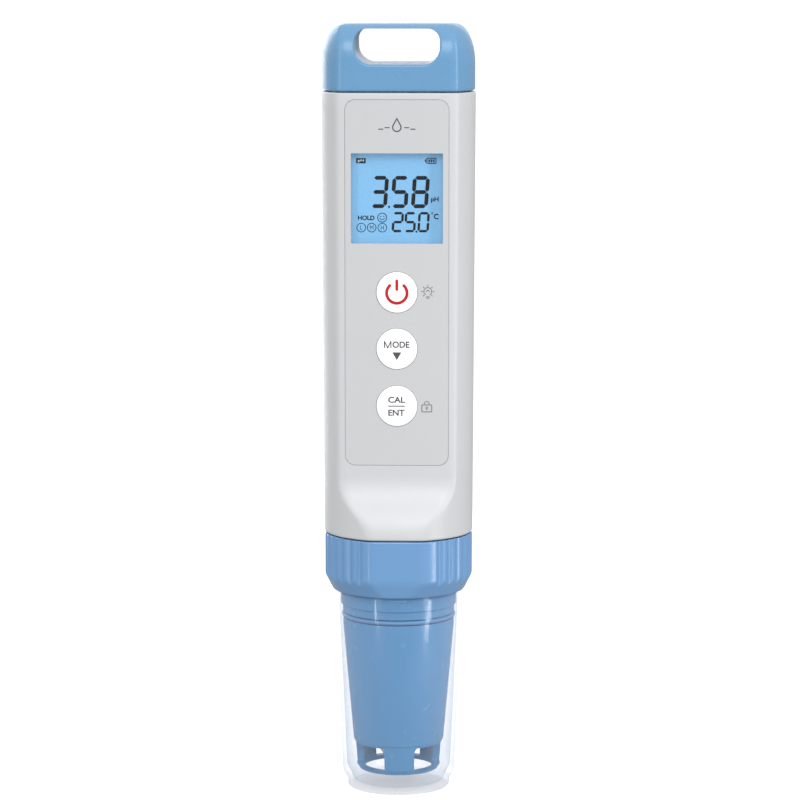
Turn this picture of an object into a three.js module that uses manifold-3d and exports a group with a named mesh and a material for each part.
// A pen-shaped pH tester standing on its clear storage cap.
//
// The frame is right-handed, in millimetres, +Z up. The origin is the centre of the storage cap's
// flat bottom, and the keypad faces -Y. From the table up: storage cap and probe, lock collar,
// casing with display and keypad, battery cap with its lanyard slot.
import * as THREE from 'three';
import { mergeVertices } from 'three/addons/utils/BufferGeometryUtils.js';
import Module from 'manifold-3d';

const wasm = await Module();
wasm.setup();

// ---------------------------------------------------------------------------------------------
// Driving dimensions
// ---------------------------------------------------------------------------------------------
const gap = 0.3; // clearance between pieces that touch on the real pen
const reach = 1; // how far a cutter runs past the face it opens
const roundSides = 40; // sides of a large round piece
const smallSides = 12; // sides of a small round piece
const buttonSides = 20;

const penHeight = 188.2;
const casingTop = 171.9;
const casingTopRadius = 18.75;
const casingBottom = 64.1;
const casingBottomRadius = 18.2;
const backDepth = 18.2; // axis to the back of the casing
const flatDepth = 11.8; // axis to the flat front
const lowerFlatDepth = 17.1; // axis to the narrow flat at the foot of the casing and on the collar
const wall = 1.8;
const scoopTop = 79.4; // where the flat front starts to sweep out into the round lower end

const panelWidth = 25;
const panelHeight = 88.4;
const panelCentre = 126.1;
const panelCorner = 2.5;
const filmThickness = 0.35;
const displayWidth = 22.1;
const displayHeight = 21.7;
const displayCentre = 146.6;
const buttonRadius = 4.95;
const buttonHeights = { power: 124, mode: 110.3, calibrate: 96.4 };

const collarTop = casingBottom - gap;
const collarBottom = 49.7;
const collarRadius = 18.2;
const threadLead = 3;
const threadBead = 0.55; // radius of the round thread ridge

const capSeam = casingTop + gap; // underside of the battery cap's visible part
const slotBottom = 178.6;
const slotTop = 187.1;
const slotWidth = 20.5;
const slotCorners = [3, 4.1]; // top and bottom

const sleeveBottom = 4.3;
const windowBottom = 5.3;
const windowTop = 11.1;
const pillarCount = 3;
const windowAngle = THREE.MathUtils.degToRad(79);
const pillarTurn = THREE.MathUtils.degToRad(3); // how far the front pillar stands off -Y

const storageTop = collarBottom - gap;

const cellRadius = 5.25; // a size AAA cell
const cellLength = 44.5;
const cellSpacing = 11.8;
const cellDepth = 4.5; // the cells stand this far behind the axis
const cellBottom = 120; // underside of the cells

// ---------------------------------------------------------------------------------------------
// Shapes and solids
// ---------------------------------------------------------------------------------------------
function toSolid(geometry) {
  const bare = geometry.clone();
  bare.deleteAttribute('normal');
  bare.deleteAttribute('uv');
  const merged = mergeVertices(bare, 1e-5);
  const vertProperties = Float32Array.from(merged.attributes.position.array);
  const triVerts = Uint32Array.from(merged.index.array);
  return new wasm.Manifold(new wasm.Mesh({ numProp: 3, vertProperties, triVerts }));
}

function toGeometry(solid) {
  const mesh = solid.getMesh();
  const geometry = new THREE.BufferGeometry();
  geometry.setAttribute('position', new THREE.BufferAttribute(mesh.vertProperties, 3));
  geometry.setIndex(new THREE.BufferAttribute(mesh.triVerts, 1));
  return geometry;
}

// A turned piece about Z, from [radius, height] points that run up the outside.
function turned(profile, sides = roundSides) {
  const points = profile.map(([radius, height]) => new THREE.Vector2(radius, height));
  return new THREE.LatheGeometry(points, sides).rotateX(Math.PI / 2);
}

// A turned ring about Z: its profile closes on itself.
function turnedRing(profile, sides = roundSides) {
  return turned([...profile, profile[0]], sides);
}

// A turned piece about a line along Y, from [radius, y] points that run from front to back.
function turnedAcross(profile, sides = smallSides) {
  const points = profile.map(([radius, depth]) => new THREE.Vector2(radius, depth));
  return new THREE.LatheGeometry(points, sides);
}

function cylinderUp(radius, bottom, top, sides = smallSides) {
  return turned([[0, bottom], [radius, bottom], [radius, top], [0, top]], sides);
}

function cylinderAcross(radius, front, back, sides = smallSides) {
  return turnedAcross([[0, front], [radius, front], [radius, back], [0, back]], sides);
}

function box(width, [front, back], [bottom, top]) {
  const geometry = new THREE.BoxGeometry(width, back - front, top - bottom);
  return geometry.translate(0, (front + back) / 2, (bottom + top) / 2);
}

function extruded(shape, depth, curveSegments = 8) {
  return new THREE.ExtrudeGeometry(shape, { depth, bevelEnabled: false, curveSegments });
}

// A shape drawn in plan (x, y), raised from bottom to top.
function raised(shape, bottom, top, curveSegments) {
  return extruded(shape, top - bottom, curveSegments).translate(0, 0, bottom);
}

// A shape drawn on the front (x, z), run from the front y to the back y.
function runBack(shape, front, back, curveSegments) {
  return extruded(shape, back - front, curveSegments).rotateX(Math.PI / 2).translate(0, back, 0);
}

// A shape drawn from the side (y, z), run across the whole width.
function runAcross(shape, width, curveSegments) {
  const axes = new THREE.Matrix4().makeBasis(
    new THREE.Vector3(0, 1, 0),
    new THREE.Vector3(0, 0, 1),
    new THREE.Vector3(1, 0, 0),
  );
  return extruded(shape, width, curveSegments).applyMatrix4(axes).translate(-width / 2, 0, 0);
}

function roundedRectangle(width, height, topCorner, bottomCorner = topCorner) {
  const [x, z] = [width / 2, height / 2];
  const shape = new THREE.Shape();
  shape.moveTo(-x + bottomCorner, -z);
  shape.absarc(x - bottomCorner, -z + bottomCorner, bottomCorner, -Math.PI / 2, 0);
  shape.absarc(x - topCorner, z - topCorner, topCorner, 0, Math.PI / 2);
  shape.absarc(-x + topCorner, z - topCorner, topCorner, Math.PI / 2, Math.PI);
  shape.absarc(-x + bottomCorner, -z + bottomCorner, bottomCorner, Math.PI, 1.5 * Math.PI);
  shape.closePath();
  return shape;
}

// A round section whose front is cut flat.
function flatFrontSection(radius, flat) {
  const half = Math.asin(flat / radius);
  const shape = new THREE.Shape();
  shape.absarc(0, 0, radius, -half, Math.PI + half);
  shape.closePath();
  return shape;
}

class HelixCurve extends THREE.Curve {
  constructor(radius, bottom, lead, turns, startTurn = 0) {
    super();
    Object.assign(this, { radius, bottom, lead, turns, startTurn });
  }
  getPoint(t, target = new THREE.Vector3()) {
    const angle = 2 * Math.PI * (this.startTurn + t * this.turns);
    const height = this.bottom + t * this.turns * this.lead;
    return target.set(this.radius * Math.cos(angle), this.radius * Math.sin(angle), height);
  }
}

// A round wire along a helix.
function helicalWire(curve, wireRadius, stepsPerTurn, wireSides) {
  const section = new THREE.Shape();
  section.absarc(0, 0, wireRadius, 0, 2 * Math.PI);
  return new THREE.ExtrudeGeometry(section, {
    steps: Math.round(stepsPerTurn * curve.turns),
    extrudePath: curve,
    curveSegments: wireSides,
    bevelEnabled: false,
  });
}

function cut(piece, ...cutters) {
  const solid = cutters.reduce((kept, cutter) => kept.subtract(toSolid(cutter)), toSolid(piece));
  return toGeometry(solid);
}

function join(piece, ...others) {
  const solid = others.reduce((whole, other) => whole.add(toSolid(other)), toSolid(piece));
  return toGeometry(solid);
}

function common(piece, other) {
  return toGeometry(toSolid(piece).intersect(toSolid(other)));
}

// ---------------------------------------------------------------------------------------------
// Materials
// ---------------------------------------------------------------------------------------------
function material(color, roughness, metalness = 0, opacity = 1) {
  const transparent = opacity < 1;
  return new THREE.MeshStandardMaterial({ color, roughness, metalness, opacity, transparent });
}

const materials = {
  casing: () => material(0xd2d4d6, 0.45),
  film: () => material(0xcfd0d2, 0.5),
  blue: () => material(0x6f9fcf, 0.4),
  paleBlue: () => material(0x78a6d6, 0.4),
  white: () => material(0xf7f7f7, 0.35),
  clear: () => material(0xdfe8f2, 0.1, 0, 0.35),
  glass: () => material(0xe8ead8, 0.05, 0, 0.4),
  display: () => material(0x87bee8, 0.2),
  board: () => material(0x2f6b45, 0.5),
  dark: () => material(0x2b2d30, 0.6),
  lightPlastic: () => material(0xe9ecee, 0.5),
  steel: () => material(0xb8bcc0, 0.3, 1),
  gold: () => material(0xd8b25a, 0.3, 1),
  silver: () => material(0xd0d2d4, 0.25, 1),
  rubber: () => material(0x3a4048, 0.8),
  ceramic: () => material(0xf0eee8, 0.7),
  cell: () => material(0x4b5a66, 0.35, 0.4),
};

// ---------------------------------------------------------------------------------------------
// Casing, display and keypad
// ---------------------------------------------------------------------------------------------
const bulkheadTop = casingBottom + 2.4;
const flangeSpan = [collarBottom + 1.9, collarBottom + 3.7]; // the probe's flange in the collar
const spigotBottom = flangeSpan[1] + 0.6;
const spigotRadius = 15.4;
const spigotBore = 12.6;
const socketHole = 10.3;
const socketFlange = 12;
const socketTop = bulkheadTop + 4;
const socketBottom = bulkheadTop - 6;
const innerFlat = flatDepth - wall; // axis to the inner face of the front wall
const filmBack = -flatDepth + filmThickness;
const filmSeat = filmBack + gap;
const threadRadius = 15.7; // centre of the thread ridge on the casing's spigot
const threadBottom = spigotBottom + 1.8;
const threadTurns = 2;

// The casing's front seen from the side: flat, then sweeping out nearly to the round at the collar.
function casingSideShape() {
  const bow = 7; // length of the tangents that shape the sweep
  const shape = new THREE.Shape();
  shape.moveTo(backDepth, casingBottom - reach);
  shape.lineTo(backDepth, casingTop + reach);
  shape.lineTo(-flatDepth, casingTop + reach);
  shape.lineTo(-flatDepth, scoopTop);
  shape.bezierCurveTo(
    -flatDepth, scoopTop - bow,
    -lowerFlatDepth, casingBottom + bow,
    -lowerFlatDepth, casingBottom,
  );
  shape.lineTo(-lowerFlatDepth, casingBottom - reach);
  shape.closePath();
  return shape;
}

function mainCasing() {
  const body = turned([
    [0, casingBottom],
    [casingBottomRadius, casingBottom],
    [casingTopRadius, casingTop],
    [0, casingTop],
  ]);
  const shell = common(body, runAcross(casingSideShape(), 2 * casingTopRadius + 2 * reach, 9));
  const cavityRound = turned([
    [0, bulkheadTop],
    [casingBottomRadius - wall, bulkheadTop],
    [casingTopRadius - wall, casingTop + reach],
    [0, casingTop + reach],
  ]);
  const cavitySpan = [bulkheadTop - reach, casingTop + 2 * reach];
  const cavity = common(cavityRound, box(2 * casingTopRadius, [-innerFlat, backDepth], cavitySpan));
  const spigot = turned([
    [0, spigotBottom],
    [spigotRadius, spigotBottom],
    [spigotRadius, casingBottom + reach],
    [0, casingBottom + reach],
  ]);
  const ridge = new HelixCurve(threadRadius, threadBottom, threadLead, threadTurns);
  const film = roundedRectangle(panelWidth + 2 * gap, panelHeight + 2 * gap, panelCorner + gap);
  const filmRecess = runBack(film, -flatDepth - reach, filmSeat, 4).translate(0, 0, panelCentre);
  const displayHole = box(
    displayWidth + gap,
    [-flatDepth, -innerFlat + reach],
    [displayCentre - displayHeight / 2 - gap / 2, displayCentre + displayHeight / 2 + gap / 2],
  );
  const buttonHoles = Object.values(buttonHeights).map((height) =>
    cylinderAcross(buttonRadius + gap, -flatDepth, -innerFlat + reach, buttonSides).translate(0, 0, height),
  );
  return cut(
    join(shell, spigot, helicalWire(ridge, threadBead, 20, 3)),
    cavity,
    cylinderUp(spigotBore, spigotBottom - reach, casingBottom + gap, roundSides),
    cylinderUp(socketHole, casingBottom - reach, bulkheadTop + reach, roundSides),
    cylinderUp(socketFlange + gap, bulkheadTop, socketTop + reach, roundSides),
    filmRecess,
    displayHole,
    ...buttonHoles,
  );
}

// The printed film has openings for the display window and for the three buttons.
function keypadFilm() {
  const sheet = roundedRectangle(panelWidth, panelHeight, panelCorner);
  const blank = runBack(sheet, -flatDepth, filmBack, 4).translate(0, 0, panelCentre);
  const opening = box(
    displayWidth,
    [-flatDepth - reach, filmBack + reach],
    [displayCentre - displayHeight / 2, displayCentre + displayHeight / 2],
  );
  const [front, back] = [-flatDepth - reach, filmBack + reach];
  const buttonHoles = Object.values(buttonHeights).map((height) =>
    cylinderAcross(buttonRadius + gap, front, back, buttonSides).translate(0, 0, height),
  );
  return cut(blank, opening, ...buttonHoles);
}

const glassFront = -innerFlat + gap;
const glassThickness = 1.3;
const backlightFront = glassFront + glassThickness + gap;
const boardFront = -6.6;
const boardThickness = 1.4;
const boardBack = boardFront + boardThickness;
const glassSize = { width: 24, height: 25.4 };
const stripOffset = 11.8;

function displayPlate(width, height, corner, front, back) {
  return runBack(roundedRectangle(width, height, corner), front, back, 3);
}

function displayWindow() {
  const width = displayWidth - 2 * gap;
  const height = displayHeight - 2 * gap;
  return displayPlate(width, height, 0.4, -flatDepth + 0.1, -innerFlat - gap);
}

function displayFrame() {
  const rim = 1.1;
  const inner = { width: glassSize.width + 2 * gap, height: glassSize.height + 2 * gap };
  const outer = displayPlate(
    inner.width + 2 * rim, inner.height + 2 * rim, 0.8, glassFront, boardFront - gap,
  );
  const bore = displayPlate(
    inner.width, inner.height, 0.3, glassFront - reach, boardFront - gap + reach,
  );
  return cut(outer, bore);
}

// Each button is a white cap with a retaining flange behind the wall and a short plunger.
function buttonCap() {
  const edge = 0.3;
  const face = -flatDepth - 0.25;
  const flangeFront = -innerFlat + gap;
  const flangeBack = flangeFront + 0.6;
  return turnedAcross([
    [0, face],
    [buttonRadius - edge, face],
    [buttonRadius, face + edge],
    [buttonRadius, flangeFront],
    [buttonRadius + 1, flangeFront],
    [buttonRadius + 1, flangeBack],
    [1.5, flangeBack],
    [1.5, flangeBack + 0.2],
    [0, flangeBack + 0.2],
  ], buttonSides);
}

function tactSwitch() {
  const bodyBack = boardFront - gap;
  const bodyFront = bodyBack - 1;
  const body = box(6, [bodyFront, bodyBack], [-3, 3]);
  return join(body, cylinderAcross(1.6, bodyFront - 0.4, bodyFront + 0.4));
}

const screwPlaces = [-1, 1].flatMap((side) => [88, 164.5].map((height) => [10.2 * side, height]));
const screwHole = 1.25;

function mainBoard() {
  const width = 24.6;
  const corner = 1.5;
  const [bottom, top] = [84, 168];
  const sheet = roundedRectangle(width, top - bottom, corner);
  const blank = runBack(sheet, boardFront, boardBack, 3).translate(0, 0, (bottom + top) / 2);
  const holes = screwPlaces.map(([x, z]) =>
    cylinderAcross(screwHole, boardFront - reach, boardBack + reach).translate(x, 0, z),
  );
  return cut(blank, ...holes);
}

function boardScrew() {
  const headBack = boardFront - gap;
  return turnedAcross([
    [0, headBack - 0.8],
    [1.7, headBack - 0.8],
    [1.9, headBack - 0.4],
    [1.9, headBack],
    [0.9, headBack],
    [0.9, boardBack + 2.8],
    [0, boardBack + 3.2],
  ]);
}

// ---------------------------------------------------------------------------------------------
// Inner frame and batteries
// ---------------------------------------------------------------------------------------------
const frameWidth = 24.4;
const framePlate = [-3.2, -1.8]; // front and back of the frame's plate
const frameSpan = [78, 169]; // bottom and top of the plate
const springSeat = 113;
const shelfThickness = 2;
const troughTop = 163;
const troughBack = 3.5; // the troughs hold the front halves of the cells
const shelfBack = 9.5;
const bossRadius = 2.3;
const cellSides = [-cellSpacing / 2, cellSpacing / 2];

function innerFrame() {
  const bury = 0.5; // how far joined shapes run into the plate
  const shelfBottom = springSeat - shelfThickness;
  const plate = box(frameWidth, framePlate, frameSpan);
  const troughs = box(frameWidth, [framePlate[1] - bury, troughBack], [shelfBottom, troughTop]);
  const shelf = box(frameWidth, [framePlate[1] - bury, shelfBack], [shelfBottom, springSeat]);
  const bosses = screwPlaces.map(([x, z]) =>
    cylinderAcross(bossRadius, boardBack + gap, framePlate[0] + bury).translate(x, 0, z),
  );
  const troughBores = cellSides.map((x) =>
    cylinderUp(cellRadius + gap, springSeat, casingTop, 20).translate(x, cellDepth, 0),
  );
  const screwBores = screwPlaces.map(([x, z]) =>
    cylinderAcross(screwHole, boardBack - reach, 0.5).translate(x, 0, z),
  );
  return cut(join(plate, troughs, shelf, ...bosses), ...troughBores, ...screwBores);
}

// A cell stands on z = 0 with its button end up.
function batteryCell() {
  const button = { radius: 1.9, height: 1 };
  return turned([
    [0, 0],
    [cellRadius - 0.4, 0],
    [cellRadius, 0.4],
    [cellRadius, cellLength - button.height - 0.4],
    [cellRadius - 0.4, cellLength - button.height],
    [button.radius, cellLength - button.height],
    [button.radius, cellLength],
    [0, cellLength],
  ], 20);
}

function batterySpring() {
  const coilRadius = 3;
  const wire = 0.35;
  const bottom = springSeat + gap + wire;
  const top = cellBottom - gap - wire;
  const turns = 4.5;
  const coil = new HelixCurve(coilRadius, bottom, (top - bottom) / turns, turns);
  return helicalWire(coil, wire, 10, 2);
}

// ---------------------------------------------------------------------------------------------
// Battery cap
// ---------------------------------------------------------------------------------------------
const plugBottom = casingTop - 5.6;
const plugRadius = casingTopRadius - wall - 0.45;
const plugFlat = innerFlat - 0.4;
const plugWall = 1.6;
const plugSides = 14; // steps round the plug's arc, doubled
const sealSpan = [plugBottom + 1.9, plugBottom + 3.7];
const sealDepth = 0.7; // how deep the seal's groove is
const hollowTop = capSeam + 4;
const contactSpan = [165.4, 166.1]; // underside and top of the battery contact

function batteryCapSideShape() {
  const shoulder = 180; // the front leaves the vertical here
  const backShoulder = 176;
  const topHalf = 5.6;
  const shape = new THREE.Shape();
  shape.moveTo(backDepth, capSeam - reach);
  shape.lineTo(backDepth, backShoulder);
  shape.quadraticCurveTo(backDepth, penHeight - 2, topHalf, penHeight);
  shape.lineTo(-topHalf, penHeight);
  shape.quadraticCurveTo(-flatDepth, penHeight - 2, -flatDepth, shoulder);
  shape.lineTo(-flatDepth, capSeam - reach);
  shape.closePath();
  return shape;
}

function batteryCap() {
  const corner = { width: 4.7, height: 9.8 };
  const arc = Array.from({ length: 7 }, (_, i) => {
    const angle = (i / 6) * (Math.PI / 2);
    return [
      casingTopRadius - corner.width + corner.width * Math.cos(angle),
      penHeight - corner.height + corner.height * Math.sin(angle),
    ];
  });
  const round = turned([[0, capSeam], [casingTopRadius, capSeam], ...arc, [0, penHeight]]);
  const body = common(round, runAcross(batteryCapSideShape(), 2 * casingTopRadius + 2 * reach, 8));
  const plug = raised(flatFrontSection(plugRadius, plugFlat), plugBottom, capSeam + reach, plugSides);
  const hollow = raised(
    flatFrontSection(plugRadius - plugWall, plugFlat - plugWall), plugBottom - reach, hollowTop, plugSides,
  );
  const groove = cut(
    raised(flatFrontSection(plugRadius + reach, plugFlat + reach), sealSpan[0], sealSpan[1], plugSides),
    raised(
      flatFrontSection(plugRadius - sealDepth, plugFlat - sealDepth),
      sealSpan[0] - reach, sealSpan[1] + reach, plugSides,
    ),
  );
  const slotShape = roundedRectangle(slotWidth, slotTop - slotBottom, ...slotCorners);
  const slot = runBack(slotShape, -2 * flatDepth, 2 * backDepth, 5)
    .translate(0, 0, (slotBottom + slotTop) / 2);
  const contactPost = box(17, [0.5, 8.5], [contactSpan[1] + gap, hollowTop + reach]);
  return join(cut(join(body, plug), hollow, groove, slot), contactPost);
}

function batteryCapSeal() {
  const grooveFloor = { radius: plugRadius - sealDepth, flat: plugFlat - sealDepth };
  const play = 0.15;
  const outer = raised(
    flatFrontSection(plugRadius + 0.1, plugFlat + 0.1), sealSpan[0] + gap, sealSpan[1] - gap, plugSides,
  );
  const inner = raised(
    flatFrontSection(grooveFloor.radius + play, grooveFloor.flat + play),
    sealSpan[0] - reach, sealSpan[1] + reach, plugSides,
  );
  return cut(outer, inner);
}

function batteryContact() {
  return raised(roundedRectangle(19, 7.4, 1.2), ...contactSpan, 4);
}

// ---------------------------------------------------------------------------------------------
// Lock collar
// ---------------------------------------------------------------------------------------------
const collarChamferTop = collarBottom + 3.9;
const collarFootRadius = 16.2;
const collarBore = 16.6;
const collarLip = 14.6;
const flangeRadius = 15.4;
const collarThreadRadius = 16.3;

// The grip ribs stand on both sides of the collar. Its back is smooth, and its front has a flat.
function collarPlan() {
  const smoothHalf = 33;
  const ribPitch = 9.5;
  const ribDepth = 0.4;
  const shape = new THREE.Shape();
  for (let degrees = 0; degrees < 360; degrees += ribPitch / 2) {
    const fromSide = Math.abs(((degrees + 90) % 180) - 90); // 0 at a side, 90 at front or back
    const gripped = fromSide < 90 - smoothHalf;
    const ripple = gripped ? ribDepth * 0.5 * (1 - Math.cos(2 * Math.PI * (fromSide / ribPitch))) : 0;
    const angle = THREE.MathUtils.degToRad(degrees);
    const radius = collarRadius - ripple;
    const [x, y] = [radius * Math.cos(angle), Math.max(-lowerFlatDepth, radius * Math.sin(angle))];
    if (degrees === 0) shape.moveTo(x, y);
    else shape.lineTo(x, y);
  }
  shape.closePath();
  return shape;
}

function lockCollar() {
  const edge = 0.3;
  const ring = turnedRing([
    [collarLip, collarBottom],
    [collarFootRadius, collarBottom],
    [collarRadius, collarChamferTop],
    [collarRadius, collarTop - edge],
    [collarRadius - edge, collarTop],
    [collarBore, collarTop],
    [collarBore, flangeSpan[1] + 2 * gap],
    [flangeRadius + 0.4, flangeSpan[1] + 2 * gap],
    [flangeRadius + 0.4, flangeSpan[0] - gap],
    [collarLip, flangeSpan[0] - gap],
  ]);
  const gripped = common(ring, raised(collarPlan(), collarBottom - reach, collarTop + reach));
  const ridge = new HelixCurve(collarThreadRadius, threadBottom + threadLead / 2, threadLead, 1.5);
  return join(gripped, helicalWire(ridge, threadBead, 20, 3));
}

// ---------------------------------------------------------------------------------------------
// Probe
// ---------------------------------------------------------------------------------------------
const oRing = { radius: 13.6, height: 43.2, wire: 0.45 };
const coreRadius = 9.2;
const coreFlare = { radius: 11.6, bottom: 36, top: 38.5 }; // the core widens to its head
const coreBottom = 13;
const coreTop = flangeSpan[1] - 0.8;
const stemBore = 3.5;
const sideBore = { junction: 1.6, sensor: 1.5 };
const junctionTop = 19; // upper end of the junction's bore
const sensorTop = 32; // upper end of the sensor's bore
const sensorTip = 8.2;
const electrodeWire = { radius: 0.35, bottom: 9 };
const sideCircle = 7; // junction and sensor stand on this radius
const sideAngle = { junction: 150, sensor: 30 }; // degrees from +X
const plugSpan = [coreTop + gap, socketBottom - gap];
const plugDisc = 11.6;
const pinCircle = 7;
const pinRadius = 0.5;
const pinPlaces = [45, 135, 225, 315].map((degrees) => {
  const angle = THREE.MathUtils.degToRad(degrees);
  return [pinCircle * Math.cos(angle), pinCircle * Math.sin(angle)];
});

function onSideCircle(degrees) {
  const angle = THREE.MathUtils.degToRad(degrees);
  return [sideCircle * Math.cos(angle), sideCircle * Math.sin(angle)];
}

// One window of the sleeve, centred on +X: a sector of a ring.
function sleeveWindow() {
  const [inner, outer] = [6, 13];
  const half = windowAngle / 2;
  const shape = new THREE.Shape();
  shape.absarc(0, 0, outer, -half, half);
  shape.absarc(0, 0, inner, half, -half, true);
  shape.closePath();
  return raised(shape, windowBottom, windowTop, 8);
}

function probeSleeve() {
  const guardStep = windowTop + 0.5;
  const bodyRadius = 13.65;
  const landRadius = 13.75;
  const landSpan = [oRing.height + 0.75, 46];
  const neckRadius = 14.24;
  const groove = { radius: oRing.radius - oRing.wire - 0.25, bottom: oRing.height - 0.75 };
  const boreRadius = 12;
  const sleeve = turnedRing([
    [8.4, sleeveBottom],
    [9.75, sleeveBottom],
    [9.75, windowBottom],
    [10.3, windowBottom],
    [10.8, guardStep],
    [11.1, guardStep],
    [bodyRadius, 40.5],
    [bodyRadius, groove.bottom],
    [groove.radius, groove.bottom],
    [groove.radius, landSpan[0]],
    [landRadius, landSpan[0]],
    [landRadius, landSpan[1]],
    [neckRadius, landSpan[1]],
    [neckRadius, flangeSpan[0]],
    [flangeRadius, flangeSpan[0]],
    [flangeRadius, flangeSpan[1]],
    [boreRadius, flangeSpan[1]],
    [boreRadius, coreFlare.bottom],
    [9.6, 12],
    [8.9, windowTop],
  ]);
  const windows = Array.from({ length: pillarCount }, (_, i) => {
    const turn = (2 * Math.PI * i) / pillarCount + Math.PI / 2 + pillarTurn;
    return sleeveWindow().rotateZ(turn);
  });
  return cut(sleeve, ...windows);
}

function ring(radius, height, wire) {
  const points = Array.from({ length: 6 }, (_, i) => {
    const angle = (2 * Math.PI * i) / 6;
    return [radius + wire * Math.cos(angle), height + wire * Math.sin(angle)];
  });
  return turnedRing(points);
}

function probeCore() {
  const bulbRecess = { radius: 5.6, depth: 2.5 };
  const body = turned([
    [0, coreBottom],
    [coreRadius, coreBottom],
    [coreRadius, coreFlare.bottom],
    [coreFlare.radius, coreFlare.top],
    [coreFlare.radius, coreTop],
    [0, coreTop],
  ], 32);
  const [junctionX, junctionY] = onSideCircle(sideAngle.junction);
  const [sensorX, sensorY] = onSideCircle(sideAngle.sensor);
  return cut(
    body,
    cylinderUp(stemBore, coreBottom - reach, coreTop + reach, 20),
    cylinderUp(bulbRecess.radius, coreBottom - reach, coreBottom + bulbRecess.depth, 20),
    cylinderUp(sideBore.junction, coreBottom - reach, junctionTop).translate(junctionX, junctionY, 0),
    cylinderUp(sideBore.sensor, coreBottom - reach, sensorTop).translate(sensorX, sensorY, 0),
  );
}

// The glass is a thin-walled tube that is blown into a round bulb at the lower end.
function glassElectrode() {
  const bulb = { radius: 5.2, bottom: 6.2, equator: 11.3 };
  const stem = 3.1;
  const wallThickness = 0.7;
  const top = 46;
  const steps = 6;
  const bowl = (radius, bottom) =>
    Array.from({ length: steps }, (_, i) => {
      const angle = (i / (steps - 1)) * (Math.PI / 2);
      const rise = (bulb.equator - bottom) * (1 - Math.cos(angle));
      return [radius * Math.sin(angle), bottom + rise];
    });
  const outside = bowl(bulb.radius, bulb.bottom);
  const inside = bowl(bulb.radius - wallThickness, bulb.bottom + wallThickness).reverse();
  return turned([
    ...outside,
    [bulb.radius, 12.6],
    [stem, 14.7],
    [stem, top],
    [stem - wallThickness, top],
    [stem - wallThickness, 14.5],
    [bulb.radius - wallThickness, 12.3],
    ...inside,
  ], 20);
}

function probePlug() {
  const disc = cylinderUp(plugDisc, plugSpan[0], plugSpan[1], 32);
  const holes = pinPlaces.map(([x, y]) =>
    cylinderUp(0.85, plugSpan[0] + 1.2, plugSpan[1] + reach).translate(x, y, 0),
  );
  return cut(disc, ...holes);
}

function plugPin() {
  const foot = plugSpan[0] + 1.5;
  const tip = bulkheadTop + 1;
  const point = { radius: 0.2, length: 0.6 };
  const shoulder = tip - point.length;
  return turned(
    [[0, foot], [pinRadius, foot], [pinRadius, shoulder], [point.radius, tip], [0, tip]], 8,
  );
}

// The socket drops into the hole in the casing's bulkhead and rests on it by its flange.
function probeSocket() {
  const flangeBottom = bulkheadTop + gap;
  const body = turned([
    [0, socketBottom],
    [socketHole - gap, socketBottom],
    [socketHole - gap, flangeBottom],
    [socketFlange, flangeBottom],
    [socketFlange, socketTop],
    [0, socketTop],
  ], 32);
  const holes = pinPlaces.map(([x, y]) =>
    cylinderUp(1.6, socketBottom - reach, socketTop + reach).translate(x, y, 0),
  );
  return cut(body, ...holes);
}

function socketContact() {
  const [inner, outer] = [0.85, 1.3];
  const [bottom, top] = [socketBottom + gap, socketTop - gap];
  return turnedRing([[inner, bottom], [outer, bottom], [outer, top], [inner, top]], smallSides);
}

// ---------------------------------------------------------------------------------------------
// Storage cap
// ---------------------------------------------------------------------------------------------
function storageCap() {
  const foot = { radius: 12.6, edge: 0.4, top: 1.8 };
  const floorTop = 1.6;
  const rim = { radius: 15.8, edge: 0.3, bottom: 43.6 };
  return turned([
    [0, 0],
    [foot.radius - foot.edge, 0],
    [foot.radius, foot.edge],
    [foot.radius, foot.top],
    [13.6, 3.4],
    [13.85, 4.4],
    [15.45, rim.bottom - 0.4],
    [rim.radius, rim.bottom],
    [rim.radius, storageTop - rim.edge],
    [rim.radius - rim.edge, storageTop],
    [14.65, storageTop],
    [14.5, 43],
    [12.75, 5],
    [11.6, 3.1],
    [11.3, floorTop],
    [0, floorTop],
  ]);
}

// ---------------------------------------------------------------------------------------------
// Assembly
// ---------------------------------------------------------------------------------------------
const pen = new THREE.Group();
pen.name = 'ph_test_pen';

function place(parent, name, geometry, surface, x = 0, y = 0, z = 0) {
  const mesh = new THREE.Mesh(geometry, surface);
  mesh.name = name;
  mesh.position.set(x, y, z);
  parent.add(mesh);
  return mesh;
}

function group(name) {
  const child = new THREE.Group();
  child.name = name;
  pen.add(child);
  return child;
}

const casing = group('casing_group');
place(casing, 'main_casing', mainCasing(), materials.casing());
place(casing, 'keypad_overlay', keypadFilm(), materials.film());

const display = new THREE.Group();
display.position.z = displayCentre;
casing.add(display);
place(display, 'display_window', displayWindow(), materials.clear());
place(display, 'display_frame', displayFrame(), materials.lightPlastic());
const glassBack = glassFront + glassThickness;
const glassPlate = displayPlate(glassSize.width, glassSize.height, 0.2, glassFront, glassBack);
place(display, 'display_glass', glassPlate, materials.display());
const backlightPlate = displayPlate(24, 21, 0.5, backlightFront, boardFront - gap);
place(display, 'display_backlight', backlightPlate, materials.lightPlastic());
for (const [name, side] of [['upper', 1], ['lower', -1]]) {
  const strip = box(22, [backlightFront, boardFront - gap], [-0.6, 0.6]);
  place(display, `display_strip_${name}`, strip, materials.rubber(), 0, 0, side * stripOffset);
}

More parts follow.
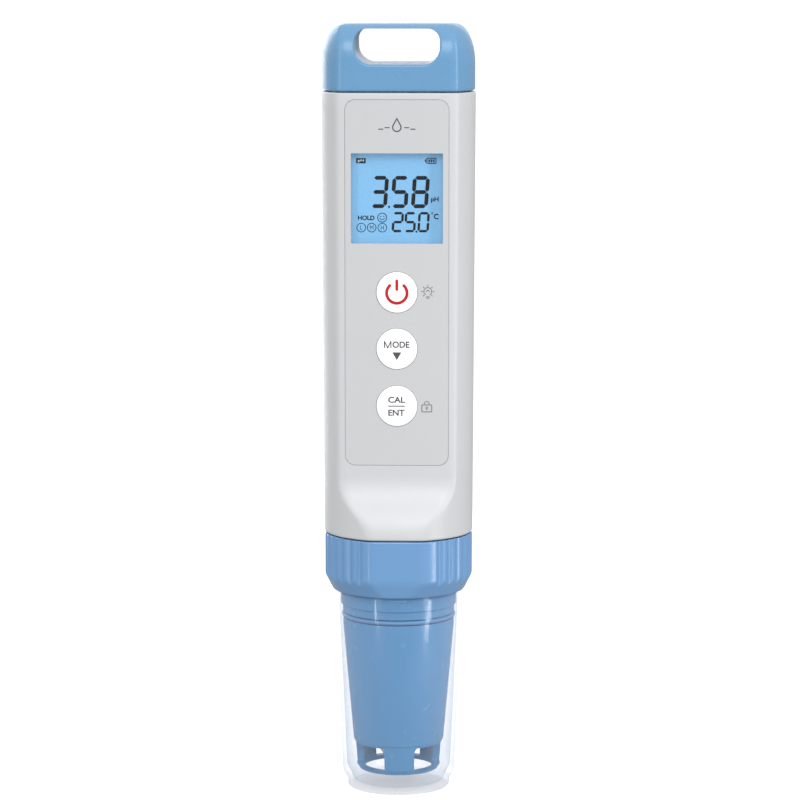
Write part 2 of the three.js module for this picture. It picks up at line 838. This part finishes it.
place(casing, 'main_board', mainBoard(), materials.board());
const chip = box(10, [boardBack + gap, boardBack + 1.5], [-5, 5]);
place(casing, 'controller_chip', chip, materials.dark(), 0, 0, 102);
for (const [name, height] of Object.entries(buttonHeights)) {
  place(casing, `${name}_switch`, tactSwitch(), materials.dark(), 0, 0, height);
  place(pen, `${name}_button`, buttonCap(), materials.white(), 0, 0, height);
}
screwPlaces.forEach(([x, z], i) => {
  place(casing, `board_screw_${i + 1}`, boardScrew(), materials.steel(), x, 0, z);
});
place(casing, 'inner_frame', innerFrame(), materials.lightPlastic());

cellSides.forEach((x, i) => {
  const side = ['left', 'right'][i];
  place(casing, `battery_spring_${side}`, batterySpring(), materials.steel(), x, cellDepth, 0);
});
place(casing, 'battery_left', batteryCell(), materials.cell(), cellSides[0], cellDepth, cellBottom);
const flipped = place(casing, 'battery_right', batteryCell(), materials.cell());
flipped.position.set(cellSides[1], cellDepth, cellBottom + cellLength);
flipped.rotation.x = Math.PI;

place(casing, 'probe_socket', probeSocket(), materials.dark());
pinPlaces.forEach(([x, y], i) => {
  place(casing, `socket_contact_${i + 1}`, socketContact(), materials.gold(), x, y);
});

const capGroup = group('battery_cap_group');
place(capGroup, 'battery_cap', batteryCap(), materials.blue());
place(capGroup, 'battery_cap_seal', batteryCapSeal(), materials.rubber());
place(capGroup, 'battery_contact', batteryContact(), materials.gold(), 0, cellDepth, 0);

const probe = group('probe_group');
place(probe, 'probe_sleeve', probeSleeve(), materials.paleBlue());
place(probe, 'storage_seal', ring(oRing.radius, oRing.height, oRing.wire), materials.rubber());
place(probe, 'probe_core', probeCore(), materials.dark());
place(probe, 'glass_electrode', glassElectrode(), materials.glass());
const wire = cylinderUp(electrodeWire.radius, electrodeWire.bottom, coreTop - 0.9, 8);
place(probe, 'electrode_wire', wire, materials.silver());
const [junctionX, junctionY] = onSideCircle(sideAngle.junction);
const junction = cylinderUp(sideBore.junction - gap, coreBottom - 0.6, junctionTop - 0.5);
place(probe, 'reference_junction', junction, materials.ceramic(), junctionX, junctionY);
const [sensorX, sensorY] = onSideCircle(sideAngle.sensor);
const sensorRadius = sideBore.sensor - gap;
const sensor = turned([
  [0, sensorTip],
  [0.7, sensorTip + 0.2],
  [sensorRadius, sensorTip + 1],
  [sensorRadius, sensorTop - 0.5],
  [0, sensorTop - 0.5],
], smallSides);
place(probe, 'temperature_sensor', sensor, materials.steel(), sensorX, sensorY);
place(probe, 'probe_plug', probePlug(), materials.dark());
pinPlaces.forEach(([x, y], i) => {
  place(probe, `plug_pin_${i + 1}`, plugPin(), materials.gold(), x, y);
});

place(pen, 'lock_collar', lockCollar(), materials.blue());
place(pen, 'storage_cap', storageCap(), materials.clear());

export default pen;
